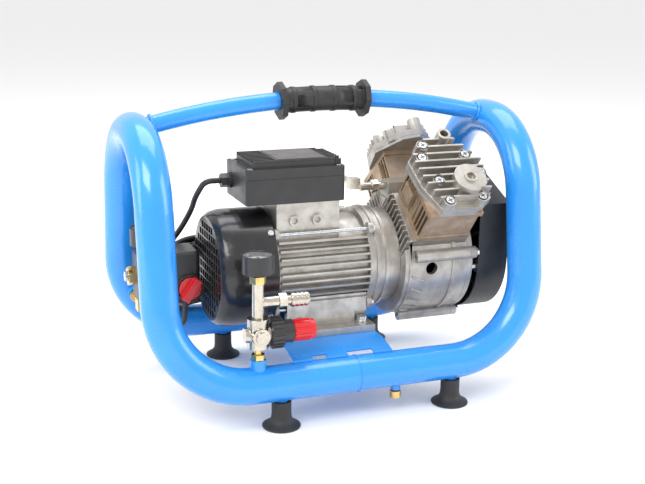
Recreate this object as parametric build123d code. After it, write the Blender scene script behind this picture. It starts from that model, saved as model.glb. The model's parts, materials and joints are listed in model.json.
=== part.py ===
"""Portable air compressor: a roll-cage tube that is also the air tank, an electric
motor, an oil-free V-twin pump, a pressure switch and a regulator group.

Units are millimetres. +X runs along the motor shaft towards the pump, +Y to the
rear and +Z up. The origin is on the floor, below the middle of the whole box.
"""
import math
import os

from build123d import *

# ---------------------------------------------------------------- driving sizes
TUBE_R = 25.0            # air tank tube, outer radius
TUBE_WALL = 2.0
CAGE_X = 269.0           # centre of the uprights, each side of the middle
CAGE_Y = 147.0           # centre of the two bottom tubes
CAGE_Z = 63.0            # height of the bottom tubes
ARCH_Y = 99.0            # half width of the arch where its legs would meet the top
ARCH_Z = 388.5           # height of the arch tops
BOTTOM_BEND = 120.0
ARCH_BEND = 108.0

AXIS_Z = 188.5           # motor and crankshaft axis
MOTOR_X0, MOTOR_X1 = -84.0, 50.0
MOTOR_BORE = 60.0
MOTOR_CORE_R = 66.0
MOTOR_FIN_R = 75.0
FOOT_Z = 98.5            # underside of the motor's feet
ROD_OFFSET = 55.0        # tie rods, from the axis in Y and in Z
AIR_GAP = 0.4

BANK_ANGLE = 40.0        # each cylinder from the vertical
FRONT_X, REAR_X = 150.0, 161.0
BORE_R = 30.0
THROW = 12.0             # crank throw, half the stroke
DECK = 90.0              # foot of the cylinders, from the crank axis
CYL_TOP = 150.0
PLATE_TOP = 155.0
HEAD_TOP = 180.0
PISTON_TOP = 137.0       # at half stroke
FIT = 0.05               # running clearance of a shaft or a piston

CASE_X0, CASE_X1 = 98.0, 198.0
CASE_R = 88.0
SHROUD_X0, SHROUD_X1 = 214.0, 262.0

BOX_X0, BOX_X1 = -128.0, 18.0
BOX_Y = 50.0
BOX_Z0, BOX_SPLIT, BOX_Z1 = 286.0, 322.0, 347.0

FOOT_X = (-109.0, 146.0)
STACK_X = -142.0         # outlet regulator stack, above the front bottom tube
SWITCH = (-268.0, -180.0, 2.0, 60.0, 138.0, 214.0)

HANDLE_R = 12.5
HANDLE_END_Z = 391.0
HANDLE_TOP_Z = 425.0
GRIP_HALF = 66.0         # half the length of the rubber grip

CHECK_X = 80.0           # check valve, on the rear bottom tube
DRAIN_X = 60.0           # drain screw, under the front bottom tube
BOSS_R = 12.0            # port bosses
FOOT_BOSS_R = 9.0        # bosses inside the rubber feet
SWITCH_PORT = (-256.0, 112.0, 129.0)     # where the switch's nipple meets the rear upright

# ball bearings: two ends along X, inner and outer radius
BEARINGS = ((-102.0, -90.0, 12.0, 26.0), (84.0, 96.0, 12.0, 26.0), (194.0, 204.0, 10.0, 21.0))
COVER_X0, COVER_X1 = -171.0, -90.0             # fan cover
BOLT_PLACES = ((-90.0, 16.0), (90.0, 16.0), (-32.0, -88.0), (32.0, -88.0))
STUD_PLACES = ((-80.0, -8.0), (80.0, -8.0), (0.0, -81.0))
HEAD_SCREWS = ((-30.0, 38.0), (38.0, 40.0), (38.0, -36.0), (-14.0, -40.0))
PLATE_SCREWS = ((-22.0, 60.0), (51.0, 8.0), (-18.0, -4.0))
CHAMBER = (24.0, -11.0)  # valve chamber of each head

KNOB_X, KNOB_Z = -197.0, 162.0
GAUGES = {"front": (STACK_X, -CAGE_Y, 216.0), "tank": (-253.0, 30.0, 219.0)}
GAUGE_R = 21.5
REG_Z = 135.5            # axis of the regulator
TEE_Z = 179.0            # axis of the air outlet

CORD_R = 3.75
LEAD_R = 4.0
GLAND_Y, GLAND_Z = 28.0, 309.0
LEAD_IN = (-214.0, 70.0, 186.0)
CORD_EXIT = (-196.0, 34.0, 126.0)
COIL_CENTRE = (-160.0, 122.0, 152.0)
COIL_LEAN = 19.0
COIL_MAJOR, COIL_MINOR = 52.0, 13.0
PLUG = (-26.0, 101.0, 110.7)             # where the cord enters the plug


# ---------------------------------------------------------------------- helpers
def cyl_x(x0, x1, r, y=0.0, z=AXIS_Z):
    """A cylinder along X."""
    return Pos((x0 + x1) / 2, y, z) * Rot(0, 90, 0) * Cylinder(r, x1 - x0)


def cyl_y(x, y0, y1, z, r):
    """A cylinder along Y."""
    return Pos(x, (y0 + y1) / 2, z) * Rot(90, 0, 0) * Cylinder(r, y1 - y0)


def cyl_z(x, y, z0, z1, r):
    """A cylinder along Z."""
    return Pos(x, y, (z0 + z1) / 2) * Cylinder(r, z1 - z0)


def block(x0, x1, y0, y1, z0, z1):
    """A box between two corners."""
    return Pos((x0 + x1) / 2, (y0 + y1) / 2, (z0 + z1) / 2) * Box(x1 - x0, y1 - y0, z1 - z0)


def hex_x(x0, x1, across, y, z):
    """A hexagonal bar along X, by its size across flats."""
    section = Plane(origin=(x0, y, z), z_dir=(1, 0, 0)) * RegularPolygon(across / math.sqrt(3), 6)
    return extrude(section, x1 - x0)


def hex_z(x, y, z0, z1, across):
    """A hexagonal bar along Z."""
    section = Plane(origin=(x, y, z0)) * RegularPolygon(across / math.sqrt(3), 6)
    return extrude(section, z1 - z0)


def turned(points, origin, direction=(0, 0, 1)):
    """A solid of revolution from (radius, height) points, along a direction."""
    face = make_face(Polyline(*[(r, 0, h) for r, h in points], close=True))
    return Plane(origin=origin, z_dir=direction) * revolve(face, Axis.Z)


def route(points):
    """Straight runs joined by arcs as large as the runs allow."""
    corners = [Vector(*p) for p in points]
    radii = []
    for before, here, after in zip(corners, corners[1:], corners[2:]):
        run_in, run_out = here - before, after - here
        turn = math.radians(run_in.get_angle(run_out))
        radii.append(0.45 * min(run_in.length, run_out.length) / math.tan(turn / 2))
    return FilletPolyline(*corners, radius=radii), radii


def tube_along(points, radius, name):
    """A round cord or pipe along a route, with its volume checked."""
    path, radii = route(points)
    start = Plane(origin=points[0], z_dir=Vector(*points[1]) - Vector(*points[0]))
    solid = sweep(start * Circle(radius), path=path)
    expected = math.pi * radius ** 2 * path.length
    print(f"{name}: length {path.length:.0f}, radii {[round(r) for r in radii]},"
          f" volume ratio {solid.volume / expected:.4f}")
    return solid


def quarter_ring(radius):
    """Four places at 45 degrees around the axis."""
    return [(sy * radius, AXIS_Z + sz * radius) for sy in (-1, 1) for sz in (-1, 1)]


def bank(x):
    """Frame of the front cylinder: x along the shaft, z up the bore."""
    angle = math.radians(BANK_ANGLE)
    return Plane(origin=(x, 0, AXIS_Z), x_dir=(1, 0, 0), z_dir=(0, -math.sin(angle), math.cos(angle)))


def on_bank(shape, front=True):
    """Place a shape drawn in bank coordinates on the front or the rear bank."""
    if front:
        return bank(FRONT_X) * shape
    return mirror(bank(REAR_X) * shape, about=Plane.XZ)


def write(name, shape):
    """Write one node."""
    solids = shape.solids() if hasattr(shape, "solids") else [s for part in shape for s in part.solids()]
    whole = solids[0] if len(solids) == 1 else Compound(children=list(solids))
    export_step(whole, f"parts/{name}.step")
    print(f"{name}: {len(solids)} solid(s)")


def group(shapes):
    """Separate solids in one node."""
    return Compound(children=[s for shape in shapes for s in shape.solids()])


# ------------------------------------------------------------------ cage, tank
def cage_half(side, radius):
    """Half of the closed cage tube: side is -1 for the left, 1 for the right."""
    path = FilletPolyline(
        (0, -CAGE_Y, CAGE_Z), (side * CAGE_X, -CAGE_Y, CAGE_Z), (side * CAGE_X, -ARCH_Y, ARCH_Z),
        (side * CAGE_X, ARCH_Y, ARCH_Z), (side * CAGE_X, CAGE_Y, CAGE_Z), (0, CAGE_Y, CAGE_Z),
        radius=[BOTTOM_BEND, ARCH_BEND, ARCH_BEND, BOTTOM_BEND])
    start = Plane(origin=(0, -CAGE_Y, CAGE_Z), z_dir=(side, 0, 0))
    return sweep(start * Circle(radius), path=path)


def tank_tube(side):
    """One half of the tank, hollow, with its port holes."""
    tube = cage_half(side, TUBE_R) - cage_half(side, TUBE_R - TUBE_WALL)
    if side < 0:
        tube -= cyl_z(STACK_X, -CAGE_Y, CAGE_Z, 100, 5)
        x, y, z = SWITCH_PORT
        tube -= cyl_y(x, y - 10, y + 25, z, 5)
    else:
        tube -= cyl_z(CHECK_X, CAGE_Y, CAGE_Z, 100, 5)
        tube -= cyl_z(DRAIN_X, -CAGE_Y, 30, CAGE_Z, 3)
    return tube




def weld_beads():
    """The two closing weld beads, at the middle of the bottom tubes."""
    bead = cyl_x(-1.5, 1.5, TUBE_R + 0.7, 0, 0) - cyl_x(-2, 2, TUBE_R, 0, 0)
    return [Pos(0, side * CAGE_Y, CAGE_Z) * bead for side in (-1, 1)]


def welded_fittings():
    """Weld beads, four foot bosses, two ports on top, the switch port and the drain boss."""
    cages = {side: cage_half(side, TUBE_R) for side in (-1, 1)}
    bosses = [(x, cyl_z(x, y, 30, 46, FOOT_BOSS_R) - cyl_z(x, y, 20, 46, 4))
              for x in FOOT_X for y in (-CAGE_Y, CAGE_Y)]
    bosses += [(x, cyl_z(x, y, 80, 100, BOSS_R - 1) - cyl_z(x, y, 70, 101, 5))
               for x, y in ((STACK_X, -CAGE_Y), (CHECK_X, CAGE_Y))]
    x, y, z = SWITCH_PORT
    bosses.append((x, cyl_y(x, y - 12, y + 8, z, 10) - cyl_y(x, y - 13, y + 9, z, 5)))
    bosses.append((DRAIN_X, cyl_z(DRAIN_X, -CAGE_Y, 32, 44, 7) - cyl_z(DRAIN_X, -CAGE_Y, 30, 45, 3)))
    return group(weld_beads() + [boss - cages[-1 if x < 0 else 1] for x, boss in bosses])


def rubber_feet():
    """Four rubber feet: a flared disc, and a neck over the welded boss."""
    neck = FOOT_BOSS_R + 0.1
    bell = [(9, 0), (26, 0), (26.5, 2.5), (22, 5), (17, 8.5), (14.3, 13), (13.5, 19), (13.5, 37.5),
            (neck, 37.5), (neck, 30), (4.2, 30), (4.2, 9), (9, 9)]
    return group([turned(bell, (x, y, 0)) for x in FOOT_X for y in (-CAGE_Y, CAGE_Y)])


def foot_screws():
    """Four screws that hold the feet."""
    screw = [(0, 4), (7, 4), (7, 9), (4, 9), (4, 37.5), (0, 37.5)]
    return group([turned(screw, (x, y, 0)) for x in FOOT_X for y in (-CAGE_Y, CAGE_Y)])


def drain_screw():
    """Knurled drain screw under the front tube."""
    return turned([(0, 20), (8, 20), (8, 30), (2.95, 30), (2.95, 38), (0, 38)], (DRAIN_X, -CAGE_Y, 0))




def handle_arc(half):
    """The handle's arc between -half and half in X."""
    rise = HANDLE_TOP_Z - HANDLE_END_Z
    radius = (CAGE_X ** 2 + rise ** 2) / (2 * rise)
    drop = radius - math.sqrt(radius ** 2 - half ** 2)
    end = HANDLE_TOP_Z - drop
    return ThreePointArc((-half, 0, end), (0, 0, HANDLE_TOP_Z), (half, 0, end))


def along_handle(section, half):
    """Sweep a section along the handle's arc."""
    arc = handle_arc(half)
    return sweep(Plane(origin=arc @ 0, z_dir=arc % 0) * section, path=arc)


def handle_tube():
    """The carrying handle, coped to the two arches."""
    tube = along_handle(Circle(HANDLE_R) - Circle(HANDLE_R - TUBE_WALL), CAGE_X)
    for side in (-1, 1):
        arch = Pos(side * CAGE_X, 0, ARCH_Z) * Rot(90, 0, 0) * Cylinder(TUBE_R, 60)
        tube -= arch
        tube -= block(side * CAGE_X - 25, side * CAGE_X + 25, -30, 30, 330, 460) & arch
    inside = block(-CAGE_X + 12, CAGE_X - 12, -30, 30, 330, 460)
    return tube & inside


def handle_grip():
    """Rubber grip with an octagonal flange at each end and four raised rings."""
    hole = Circle(HANDLE_R)
    grip = along_handle(Circle(17.5) - hole, GRIP_HALF)
    for x in (-45, -15, 15, 45):
        grip += cyl_x(x - 3, x + 3, 18.6, 0, HANDLE_TOP_Z - x * x / 2150) - along_handle(hole, GRIP_HALF)
    arc = handle_arc(GRIP_HALF)
    for at, sign in ((0, 1), (1, -1)):
        flange = Plane(origin=arc @ at, z_dir=(arc % at) * sign) * RegularPolygon(27, 8)
        grip += extrude(flange, 8) - along_handle(hole, GRIP_HALF + 10)
    return grip


def base_plate():
    """Folded sheet between the two bottom tubes, under the motor."""
    half = [(0, 98.5), (112, 98.5), (147, 91), (147, 88), (112, 95.5), (0, 95.5)]
    outline = half + [(-y, z) for y, z in reversed(half)]
    face = make_face(Polyline(*[(0, y, z) for y, z in outline[:5] + outline[6:11]], close=True))
    plate = Pos(-92, 0, 0) * extrude(face, 146, dir=(1, 0, 0))
    for side in (-1, 1):
        for x0, x1 in ((-63, -43), (-12, 26)):
            plate -= block(x0, x1, min(side * 136, side * 150), max(side * 136, side * 150), 80, 105)
    for x, y in bolt_places():
        plate -= cyl_z(x, y, 90, 102, 4)
    return plate


def bolt_places():
    """The motor's four foot bolts."""
    return [(x, y) for x in (-59, 41) for y in (-64, 64)]


def motor_bolts():
    """Four foot bolts with washers and nuts."""
    bolt = [(0, 90), (6.5, 90), (6.5, 95.5), (4, 95.5), (4, 108.5), (9, 108.5), (9, 110.5), (7, 110.5),
            (7, 116), (0, 116)]
    return group([turned(bolt, (x, y, 0)) for x, y in bolt_places()])


# ----------------------------------------------------------------------- motor
def motor_housing():
    """Cast stator frame: level fins on both sides, a terminal pad and two feet."""
    body = cyl_x(MOTOR_X0, MOTOR_X1, MOTOR_CORE_R)
    fins = [block(MOTOR_X0, MOTOR_X1, -80, 80, AXIS_Z + 11 * i - 1.5, AXIS_Z + 11 * i + 1.5)
            for i in range(-4, 5)]
    envelope = cyl_x(MOTOR_X0, MOTOR_X1, MOTOR_FIN_R)
    body += [fin & envelope for fin in fins]
    body += block(MOTOR_X0, 10, -49, 49, 230, BOX_Z0) - block(MOTOR_X0 + 6, 4, -40, 40, 258, 300)
    for side in (-1, 1):
        y0, y1 = sorted((side * 86, side * 50))
        body += block(-72, 54, y0, y1, FOOT_Z, FOOT_Z + 10)
        y0, y1 = sorted((side * 60, side * 50))
        body += block(-72, 50, y0, y1, FOOT_Z, 150)
        for x in (-58, -24):
            boss = turned([(0, 45), (8, 45), (8, 53), (4, 53), (4, 49), (0, 49)], (x, 0, 261), (0, side, 0))
            body += boss
    body -= cyl_x(MOTOR_X0 - 1, MOTOR_X1 + 10, MOTOR_BORE)
    for x, y in bolt_places():
        body -= cyl_z(x, y, 90, 130, 4)
        body -= cyl_z(x, y, 108.5, 122, 10)
    for y, z in quarter_ring(ROD_OFFSET):
        body -= cyl_x(MOTOR_X0 - 1, 60, 4.5, y, z)
    return body


def stator_core():
    """Laminated ring with winding slots."""
    core = cyl_x(-60, 22, MOTOR_BORE) - cyl_x(-61, 23, 37)
    for i in range(24):
        slot = block(-61, 23, -1.6, 1.6, 40, 52)
        core -= Pos(0, 0, AXIS_Z) * Rot(i * 15, 0, 0) * slot
    return core


def stator_windings():
    """The two rings of end turns."""
    return group([cyl_x(x0, x1, 56) - cyl_x(x0 - 1, x1 + 1, 42) for x0, x1 in ((-78, -60), (22, 40))])


def rotor_core():
    """Squirrel-cage rotor."""
    return cyl_x(-60, 22, 37 - AIR_GAP) - cyl_x(-61, 23, 12)




def shaft_bearings():
    """Three ball bearings, each as one ring."""
    return group([cyl_x(x0, x1, outer) - cyl_x(x0 - 1, x1 + 1, inner + FIT)
                  for x0, x1, inner, outer in BEARINGS])


def rod_ears(x0, x1):
    """Four ears for the tie rods."""
    ears = []
    for y, z in quarter_ring(ROD_OFFSET):
        ear = cyl_x(x0, x1, 9, y, z)
        ears.append(ear - cyl_x(x0 - 1, x1 + 1, 2.5, y, z))
    return ears


def rear_end_shield():
    """Bearing shield on the fan side."""
    shield = cyl_x(-104, -84, 70) - cyl_x(-98, -83, 62)
    shield += cyl_x(-104, -88, 32)
    for ear in rod_ears(-90, -84):
        shield += ear
    for y, z in quarter_ring(ROD_OFFSET):
        shield -= cyl_x(-105, -80, 2.5, y, z)
    return shield - cyl_x(-110, -80, BEARINGS[0][3])


def front_flange():
    """Stepped adapter between the motor and the pump, with the middle bearing."""
    rings = ((50, 60, 74), (60, 66, 76), (66, 74, 72), (74, 80, 74), (80, CASE_X0, 70))
    flange = cyl_x(50, 60, 74)
    for x0, x1, r in rings:
        flange += cyl_x(x0, x1, r)
    for ear in rod_ears(50, 58):
        flange += ear
    flange -= cyl_x(49, 82, 62)
    for y, z in quarter_ring(ROD_OFFSET):
        flange -= cyl_x(49, 66, 2.5, y, z)
        flange -= cyl_x(58, 66, 6, y, z)
    return flange - cyl_x(80, 100, BEARINGS[1][3])


def tie_rods():
    """Four tie rods with a nut at each end."""
    rods = []
    for y, z in quarter_ring(ROD_OFFSET):
        rods.append(cyl_x(-90, 58, 2.5, y, z) + hex_x(58, 62, 8, y, z))
    return group(rods)




def fan_cover():
    """Moulded fan cover with a square grille on its end."""
    outside = [(0, 0), (75, 0), (81, 8), (84, 20), (84, 81), (0, 81)]
    inside = [(0, 3), (73, 3), (78.5, 10), (81.5, 21), (81.5, 82), (0, 82)]
    cover = turned(outside, (COVER_X0, 0, AXIS_Z), (1, 0, 0))
    cover -= turned(inside, (COVER_X0, 0, AXIS_Z), (1, 0, 0))
    for place in GridLocations(12, 12, 11, 11):
        y, z = place.position.X, place.position.Y
        if math.hypot(y, z) < 66:
            cover -= block(COVER_X0 - 1, COVER_X0 + 4, y - 4.5, y + 4.5, AXIS_Z + z - 4.5, AXIS_Z + z + 4.5)
    return cover


def fan(x0, x1, hub, shaft, tip, blades, width):
    """A radial fan with flat blades on a back disc."""
    wheel = cyl_x(x0, x1, hub) + cyl_x(x1 - 3, x1, tip - 6)
    for i in range(blades):
        blade = block(x0, x1 - 2, -width / 2, width / 2, hub - 3, tip)
        wheel += Pos(0, 0, AXIS_Z) * Rot(i * 360 / blades, 0, 0) * blade
    return wheel - cyl_x(x0 - 1, x1 + 1, shaft)


def terminal_box():
    """Lower half of the terminal box."""
    shell = block(BOX_X0, BOX_X1, -BOX_Y, BOX_Y, BOX_Z0, BOX_SPLIT)
    shell = fillet(shell.edges().filter_by(Axis.Z), 5)
    shell -= block(BOX_X0 + 2.5, BOX_X1 - 2.5, -BOX_Y + 2.5, BOX_Y - 2.5, BOX_Z0 + 3, BOX_SPLIT + 1)
    for x, y in lid_screw_places():
        shell += cyl_z(x, y, BOX_Z0 + 2, BOX_SPLIT, 5) - cyl_z(x, y, BOX_SPLIT - 14, BOX_SPLIT + 1, 2)
    shell -= cyl_x(BOX_X0 - 1, BOX_X0 + 5, 6, GLAND_Y, GLAND_Z)
    return shell - block(-70, -5, -30, 30, BOX_Z0 - 1, BOX_Z0 + 4)




def lid_screw_places():
    """The lid's four corner screws."""
    return [(x, y) for x in (BOX_X0 + 8, BOX_X1 - 8) for y in (-BOX_Y + 8, BOX_Y - 8)]


def terminal_box_lid():
    """Stepped lid with ribs along X on both sides of a flat panel."""
    lid = block(BOX_X0, BOX_X1, -BOX_Y, BOX_Y, BOX_SPLIT, 336)
    lid = fillet(lid.edges().filter_by(Axis.Z), 5)
    lid += block(BOX_X0 + 12, BOX_X1 - 3, -BOX_Y + 8, BOX_Y - 8, 336, 344)
    for i in range(9):
        y = -40 + 10 * i
        lid += block(BOX_X0 + 12, BOX_X1 - 3, y - 1.5, y + 1.5, 344, BOX_Z1)
    lid += block(-82, -5, -41.5, 41.5, 344, BOX_Z1)
    lid -= block(BOX_X0 + 3, BOX_X1 - 3, -BOX_Y + 3, BOX_Y - 3, BOX_SPLIT - 1, 333)
    for x, y in lid_screw_places():
        lid += cyl_z(x, y, BOX_SPLIT, 333.5, 5.7)
        lid -= cyl_z(x, y, BOX_SPLIT - 1, 340, 2)
        lid -= cyl_z(x, y, 334, 350, 5.5)
    return lid


def small_screws():
    """Lid screws, and the screws that hold the fan cover."""
    screw = [(0, 10), (2, 10), (2, 26), (4.5, 26), (4.5, 29), (0, 29)]
    made = [turned(screw, (x, y, 308)) for x, y in lid_screw_places()]
    for y, z in quarter_ring(59.5):
        direction = Vector(0, y, z - AXIS_Z).normalized()
        made.append(turned([(0, 0), (4.2, 0), (4.2, 2.4), (0, 2.4)],
                           Vector(-96, 0, AXIS_Z) + direction * 84.1, direction))
    return group(made)


def run_capacitor():
    """Motor capacitor, lying in the terminal box."""
    return cyl_x(-100, -20, 15, -26, 305)


def cable_glands():
    """Gland nuts of the motor lead and the cord."""
    box_gland = (cyl_x(BOX_X0 - 3, BOX_X0, 11, GLAND_Y, GLAND_Z)
                 + hex_x(BOX_X0 - 15, BOX_X0 - 3, 18, GLAND_Y, GLAND_Z)
                 + cyl_x(BOX_X0, BOX_X0 + 4, 5.9, GLAND_Y, GLAND_Z))
    box_gland -= cyl_x(BOX_X0 - 16, BOX_X0 + 5, LEAD_R, GLAND_Y, GLAND_Z)
    rear = cyl_y(LEAD_IN[0], SWITCH[3], SWITCH[3] + 10, LEAD_IN[2], 9) \
        - cyl_y(LEAD_IN[0], SWITCH[3] - 1, SWITCH[3] + 11, LEAD_IN[2], LEAD_R)
    return group([box_gland, rear, cord_gland()])




def motor_lead():
    """Lead from the terminal box to the pressure switch."""
    points = [(BOX_X0 - 15, GLAND_Y, GLAND_Z), (-166, GLAND_Y, GLAND_Z), (-176, 44, 284),
              (-176, 70, 258), (-192, 80, 226), (-214, 90, 196), LEAD_IN]
    return tube_along(points, LEAD_R, "motor_lead")


# ------------------------------------------------------------------------ pump


def crankcase():
    """Crank chamber with two cylinder decks, fins and bolt bosses."""
    case = cyl_x(CASE_X0, CASE_X1, CASE_R)
    for x0, x1 in ((104, 106), (172, 178)):
        case += cyl_x(x0, x1, CASE_R + 2)
    for front in (True, False):
        left = CASE_X0 - (FRONT_X if front else REAR_X)
        case -= on_bank(block(left - 1, left + 6, -47, 47, 56, 100), front)
        case += on_bank(block(left + 6, 44 if front else 32, -44, 44, 30, DECK), front)
        for i in range(10):
            e = -42.75 + 9.5 * i
            case += on_bank(block(left, left + 8, e - 1.3, e + 1.3, 54, DECK - 1), front)
    case += block(100, 150, -15, 15, 250, 300)
    for dy, dz in BOLT_PLACES:
        case += cyl_x(112, CASE_X1, 9, dy, AXIS_Z + dz)
    case -= cyl_x(CASE_X0 + 8, CASE_X1 + 1, 78)
    for front in (True, False):
        case -= on_bank(cyl_z(0, 0, 20, DECK + 20, 36.5), front)
    for dy, dz in BOLT_PLACES:
        case -= cyl_x(111, CASE_X1 + 1, 3, dy, AXIS_Z + dz)
    case -= cyl_y(140, -100, -60, AXIS_Z - 4, 9)
    return case - cyl_x(CASE_X0 - 1, CASE_X0 + 9, 26)


def crankcase_cover():
    """Right end of the crank chamber, with the outer bearing."""
    cover = cyl_x(CASE_X1, 206, CASE_R) - cyl_x(CASE_X1 - 1, 202, 78)
    cover += cyl_x(192, 206, 28)
    for dy, dz in BOLT_PLACES:
        cover += cyl_x(CASE_X1, 208, 9, dy, AXIS_Z + dz)
        cover -= cyl_x(CASE_X1 - 1, 209, 3, dy, AXIS_Z + dz)
    return cover - cyl_x(190, 207, BEARINGS[2][3])


def crankshaft():
    """Motor shaft and crank in one, with a counterweight on each web."""
    shaft = cyl_x(-156, 130, 12) + cyl_x(180, 246, 10)
    for x0, x1 in ((130, 140), (170, 180)):
        shaft += cyl_x(x0, x1, 22)
        weight = cyl_x(x0, x1, 46) & block(x0, x1, -50, 50, AXIS_Z - 50, AXIS_Z - 8)
        shaft += weight
    return shaft + cyl_x(138, 172, 7, 0, AXIS_Z + THROW)


def piston(front):
    """Wobble piston and rod in one piece, with its cup seal, at half stroke.

    The eye at the foot of the rod is larger than the crank pin by the whole throw,
    so that the rod can slide straight while the pin goes round.
    """
    crown = cyl_z(0, 0, PISTON_TOP - 8, PISTON_TOP, BORE_R - FIT)
    crown += cyl_z(0, 0, PISTON_TOP - 14, PISTON_TOP - 8, 22)
    rod = block(-4.5, 4.5, -9, 9, 34, PISTON_TOP - 12)
    eye = Pos(0, 0, 0) * Rot(0, 90, 0) * (Cylinder(38, 9) - Cylinder(32.5, 12))
    rod -= Rot(0, 90, 0) * Cylinder(33, 12)
    return on_bank(crown + rod + eye, front)


def cylinder(front):
    """Finned cylinder: plates along the bore, stacked across the bank."""
    barrel = cyl_z(0, 0, DECK - 14, CYL_TOP, 36)
    barrel += block(-38, 44, -45, 45, DECK, DECK + 7)
    barrel += block(-38, 46, -47, 47, CYL_TOP - 8, CYL_TOP)
    for i in range(-5, 6):
        barrel += block(-37, 42, 8.6 * i - 1.4, 8.6 * i + 1.4, DECK + 7, CYL_TOP - 8)
    barrel += block(-44, -30, 2, 30, DECK + 20, CYL_TOP - 14)
    barrel -= cyl_z(0, 0, DECK - 15, CYL_TOP + 1, BORE_R)
    for x, y in HEAD_SCREWS:
        barrel -= cyl_z(x, y, CYL_TOP - 20, CYL_TOP + 1, 3)
    return on_bank(barrel, front)


def head_outline(grow=0.0):
    """Outline of the head and the valve plate, in bank coordinates."""
    points = [(-48, 40), (-14, 78), (12, 84), (34, 66), (60, 28), (57, -32), (30, -49), (-24, -49), (-42, -6)]
    return offset(make_face(Polyline(*points, close=True)), grow) if grow else \
        make_face(Polyline(*points, close=True))


def valve_plates():
    """Valve plate of each bank, with its two ports."""
    plate = extrude(Pos(0, 0, CYL_TOP) * head_outline(), PLATE_TOP - CYL_TOP)
    for x in (-12, 12):
        plate -= cyl_z(x, 0, CYL_TOP - 1, PLATE_TOP + 1, 5)
    for x, y in HEAD_SCREWS:
        plate -= cyl_z(x, y, CYL_TOP - 1, PLATE_TOP + 1, 3)
    return group([on_bank(plate), on_bank(plate, False)])


def head(front):
    """Cylinder head: fins along X, a round valve chamber and a port boss."""
    cover = extrude(Pos(0, 0, PLATE_TOP) * head_outline(), 10)
    outline = extrude(Pos(0, 0, PLATE_TOP) * head_outline(-1.5), HEAD_TOP - PLATE_TOP)
    for i in range(9):
        y = -36 + 13 * i
        cover += block(-60, 62, y - 1.6, y + 1.6, PLATE_TOP, HEAD_TOP) & outline
    x, y = CHAMBER
    cover += cyl_z(x, y, PLATE_TOP, HEAD_TOP + 8, 24) + cyl_z(x, y, HEAD_TOP, HEAD_TOP + 11, 10)
    cover += cyl_z(13, 72, PLATE_TOP, HEAD_TOP + 6, 10)
    for place in HEAD_SCREWS + PLATE_SCREWS:
        cover += cyl_z(*place, PLATE_TOP, HEAD_TOP - 4, 9.3)
        cover -= cyl_z(*place, HEAD_TOP - 8, HEAD_TOP + 12, 7.5)
    for x0 in (-14, 22):
        cover -= cyl_z(x0, 0, PLATE_TOP - 1, PLATE_TOP + 8, 16)
    cover -= cyl_z(13, 72, PLATE_TOP + 6, HEAD_TOP + 7, 6)
    cover -= cyl_z(x, y, HEAD_TOP + 4, HEAD_TOP + 12, 6)
    for place in HEAD_SCREWS:
        cover -= cyl_z(*place, PLATE_TOP - 1, HEAD_TOP, 3)
    for place in PLATE_SCREWS:
        cover -= cyl_z(*place, PLATE_TOP + 9, HEAD_TOP, 3)
    return on_bank(cover, front)


def pump_screws():
    """Head screws, crankcase bolts and the shroud's spacers."""
    screw = [(0, CYL_TOP - 18), (3, CYL_TOP - 18), (3, HEAD_TOP - 8), (6, HEAD_TOP - 8),
             (6, HEAD_TOP - 3), (0, HEAD_TOP - 3)]
    short = [(r, max(z, PLATE_TOP + 9)) for r, z in screw]
    made = []
    for front in (True, False):
        made += [on_bank(turned(screw, (x, y, 0)), front) for x, y in HEAD_SCREWS]
        made += [on_bank(turned(short, (x, y, 0)), front) for x, y in PLATE_SCREWS]
    for dy, dz in BOLT_PLACES:
        bolt = cyl_x(120, 208, 3, dy, AXIS_Z + dz) + hex_x(208, 213, 10, dy, AXIS_Z + dz)
        made.append(bolt)
    return group(made + shroud_studs())


def shroud_face(inset):
    """Outline of the pump fan's shroud, in the YZ plane."""
    half, top, peak = 90 - inset, 274 - inset * 0.8, 305 - inset
    polygon = Polyline((-half, 0), (-half, top - AXIS_Z), (-15, peak - AXIS_Z), (15, peak - AXIS_Z),
                       (half, top - AXIS_Z), (half, 0), close=True)
    return make_face(polygon) + Circle(half)


def shroud_plane(x):
    """Plane across the shaft, drawn with Y to the right and Z up."""
    return Plane(origin=(x, 0, AXIS_Z), x_dir=(0, 1, 0), z_dir=(1, 0, 0))




def fan_shroud():
    """Open shell around the pump fan, with air slots in its outer face."""
    shell = extrude(shroud_plane(SHROUD_X0) * shroud_face(0), SHROUD_X1 - SHROUD_X0)
    shell -= extrude(shroud_plane(SHROUD_X0 - 1) * shroud_face(2.5), SHROUD_X1 - SHROUD_X0 - 1.5)
    for i in range(24):
        slot = block(SHROUD_X1 - 6, SHROUD_X1 + 1, -3, 3, 26, 72)
        shell -= Pos(0, 0, AXIS_Z) * Rot(i * 15, 0, 0) * slot
    for dy, dz in STUD_PLACES:
        tab = cyl_x(SHROUD_X0, SHROUD_X0 + 3, 10, dy, AXIS_Z + dz)
        shell += tab & extrude(shroud_plane(SHROUD_X0) * shroud_face(1), 3)
        shell -= cyl_x(SHROUD_X0 - 1, SHROUD_X0 + 4, 3, dy, AXIS_Z + dz)
    return shell


def shroud_studs():
    """Hexagonal spacers that carry the shroud."""
    return [hex_x(206, SHROUD_X0, 9, dy, AXIS_Z + dz)
            + cyl_x(SHROUD_X0, SHROUD_X0 + 3.5, 2.9, dy, AXIS_Z + dz) for dy, dz in STUD_PLACES]


def air_pipe():
    """Pipe from the pump's elbow to the check valve on the rear tube, with the elbow."""
    points = [(58, 26, 295), (58, 66, 295), (61, 100, 280), (67, 118, 242), (74, 132, 200),
              (CHECK_X, 147, 162), (CHECK_X, 147, 128)]
    elbow = cyl_x(66, 100, 6, 12, 290) + hex_x(84, 94, 16, 12, 290)
    elbow += block(50, 66, 10, 26, 287, 303)
    return group([tube_along(points, 5, "air_pipe"), elbow])


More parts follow.
